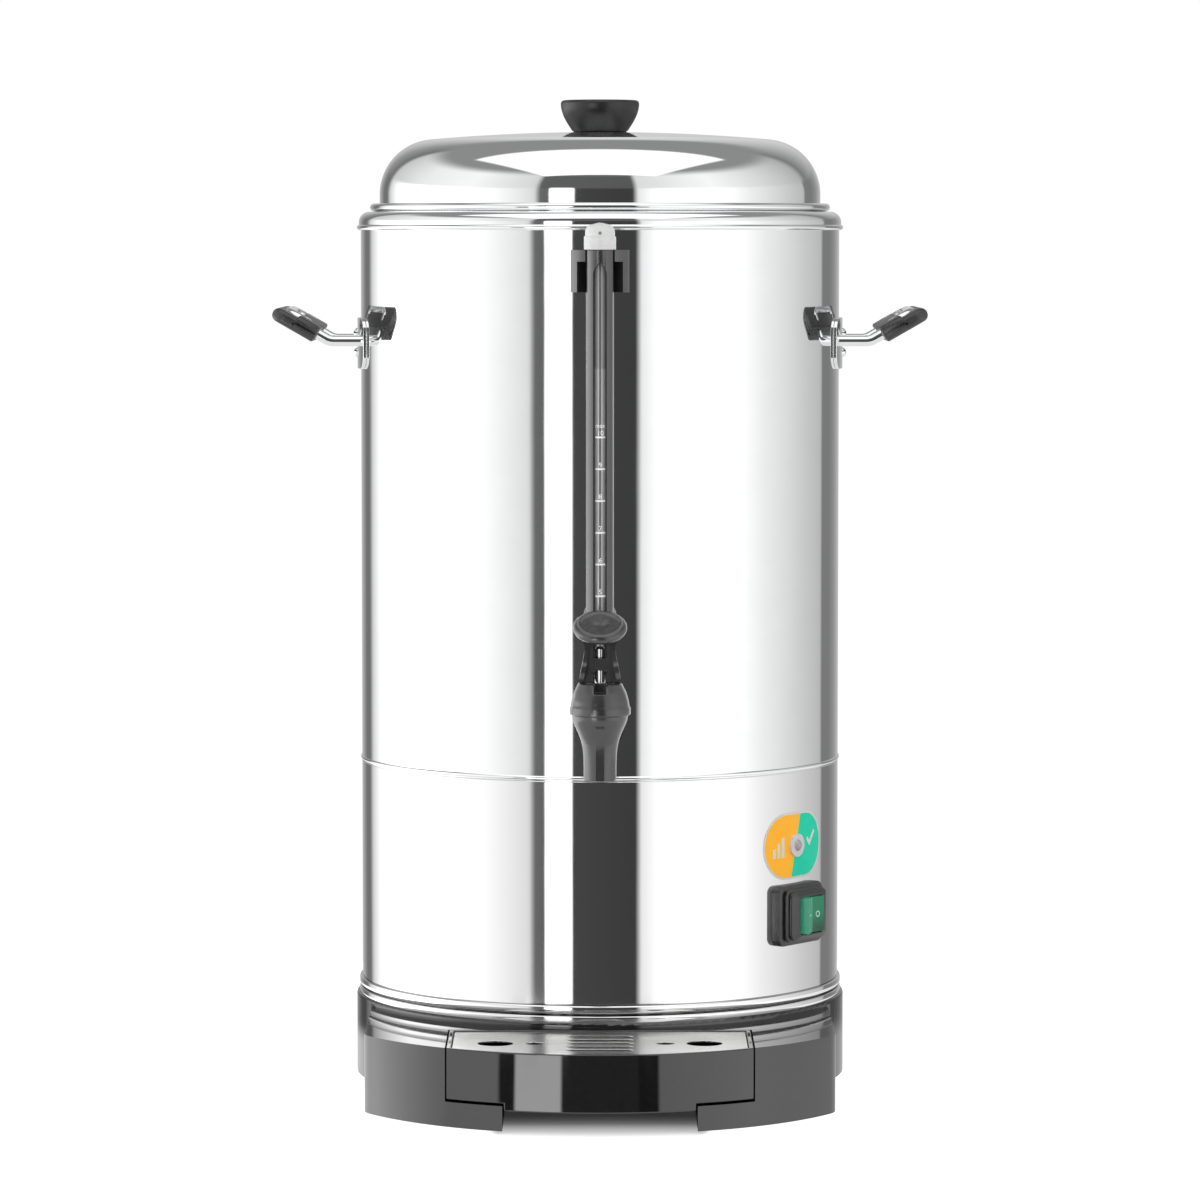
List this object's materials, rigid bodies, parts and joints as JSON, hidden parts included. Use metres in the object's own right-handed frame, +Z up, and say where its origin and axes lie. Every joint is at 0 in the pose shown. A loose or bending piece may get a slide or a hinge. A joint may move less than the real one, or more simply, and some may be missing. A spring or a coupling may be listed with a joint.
{
  "type": "coffee urn",
  "caption": "Upright percolator coffee urn with a polished steel tank, lift-off lid, side handles, sight gauge, lever tap, rocker switch and a pull-out drip tray in a moulded base.",
  "frame": {"origin": "middle of the footprint on the surface the urn stands on", "axes": "+Z up along the tank's axis, -Y towards the front with the tap, +X to the right seen from the front"},
  "size_m": [0.3716, 0.3684, 0.551],
  "materials": {
    "polished_steel": "mirror-polished stainless sheet",
    "black_plastic": "glossy moulded black plastic",
    "zinc_steel": "zinc-plated steel",
    "foot_rubber": "matt rubber",
    "cast_aluminium": "cast aluminium",
    "element_sheath": "heat-tinted steel sheath",
    "dark_plastic": "matt black plastic",
    "ceramic_white": "matt ceramic",
    "switch_black": "satin black plastic",
    "green_rocker": "translucent green plastic",
    "white_plastic": "translucent white plastic",
    "lamp_lens": "clear lamp lens",
    "silicone": "pale silicone rubber",
    "stem_metal": "turned bright metal",
    "gauge_glass": "clear glass tube",
    "chrome_wire": "chrome-plated steel",
    "grip_plastic": "satin black plastic with a fine grain",
    "knob_plastic": "satin black plastic",
    "satin_steel": "satin stainless sheet",
    "grid_steel": "bright pressed steel"
  },
  "bodies": {
    "urn": {"tank_shell": "polished_steel", "lower_skirt": "polished_steel", "base_housing": "black_plastic", "bottom_plate": "zinc_steel", "feet": "foot_rubber", "base_screws": "zinc_steel", "tie_rods": "zinc_steel", "tie_nuts": "zinc_steel", "heater_plate": "cast_aluminium", "heating_element": "element_sheath", "thermostat": "dark_plastic", "thermal_cutout": "ceramic_white", "terminal_block": "ceramic_white", "cord_gland": "dark_plastic", "gland_nut": "dark_plastic", "switch_frame": "switch_black", "switch_body": "dark_plastic", "indicator_bezel": "white_plastic", "indicator_lens": "lamp_lens", "tap_body": "black_plastic", "tap_washers": "silicone", "tap_nut": "zinc_steel", "tap_bonnet": "black_plastic", "gauge_tube": "gauge_glass", "gauge_seal": "silicone", "gauge_guard": "black_plastic", "gauge_bracket": "black_plastic", "gauge_screws": "zinc_steel", "handle_plate_left": "chrome_wire", "handle_plate_right": "chrome_wire", "handle_wire_left": "chrome_wire", "handle_wire_right": "chrome_wire", "handle_grip_left": "grip_plastic", "handle_grip_right": "grip_plastic", "handle_rivets": "chrome_wire"},
    "lid": {"lid_shell": "polished_steel", "lid_knob": "knob_plastic", "knob_screw": "zinc_steel"},
    "pump": {"pump_tube": "satin_steel", "pump_foot": "satin_steel"},
    "basket": {"filter_basket": "satin_steel"},
    "spreader": {"basket_cover": "satin_steel"},
    "valve": {"valve_stem": "stem_metal", "valve_seal": "silicone"},
    "lever": {"tap_lever": "black_plastic", "lever_pin": "zinc_steel"},
    "rocker": {"switch_rocker": "green_rocker"},
    "tray": {"drip_tray": "black_plastic"},
    "grid": {"drip_grid": "grid_steel"},
    "cap": {"gauge_cap": "white_plastic"}
  },
  "joints": [
    {"name": "lid_lift", "type": "slide", "parent": "urn", "child": "lid", "axis": [0, 0, 1], "range_m": [0, 0.12]},
    {"name": "pump_lift", "type": "slide", "parent": "urn", "child": "pump", "axis": [0, 0, 1], "range_m": [0, 0.035]},
    {"name": "basket_lift", "type": "slide", "parent": "pump", "child": "basket", "axis": [0, 0, 1], "range_m": [0, 0.03]},
    {"name": "spreader_lift", "type": "slide", "parent": "basket", "child": "spreader", "axis": [0, 0, 1], "range_m": [0, 0.03]},
    {"name": "valve_lift", "type": "slide", "parent": "urn", "child": "valve", "axis": [0, 0, 1], "range_m": [0, 0.0035]},
    {"name": "lever_tilt", "type": "hinge", "parent": "valve", "child": "lever", "pos_m": [0, -0.1282, 0.2432], "axis": [1, 0, 0], "range_deg": [0, 50], "stiffness_Nm_per_rad": 0.02, "springref_deg": -17.19},
    {"name": "rocker_tilt", "type": "hinge", "parent": "urn", "child": "rocker", "pos_m": [0.114, -0.03886, 0.1], "axis": [0, 0, 1], "range_deg": [-16, 0]},
    {"name": "tray_slide", "type": "slide", "parent": "urn", "child": "tray", "axis": [0, -1, 0], "range_m": [0, 0.1]},
    {"name": "grid_lift", "type": "slide", "parent": "tray", "child": "grid", "axis": [0, 0, 1], "range_m": [0, 0.03]},
    {"name": "cap_pull", "type": "slide", "parent": "urn", "child": "cap", "axis": [0, 0, 1], "range_m": [0, 0.025]}
  ],
  "couplings": [
    {"joint": "lever_tilt", "follows": "valve_lift", "rad_per_m": 249.3}
  ]
}
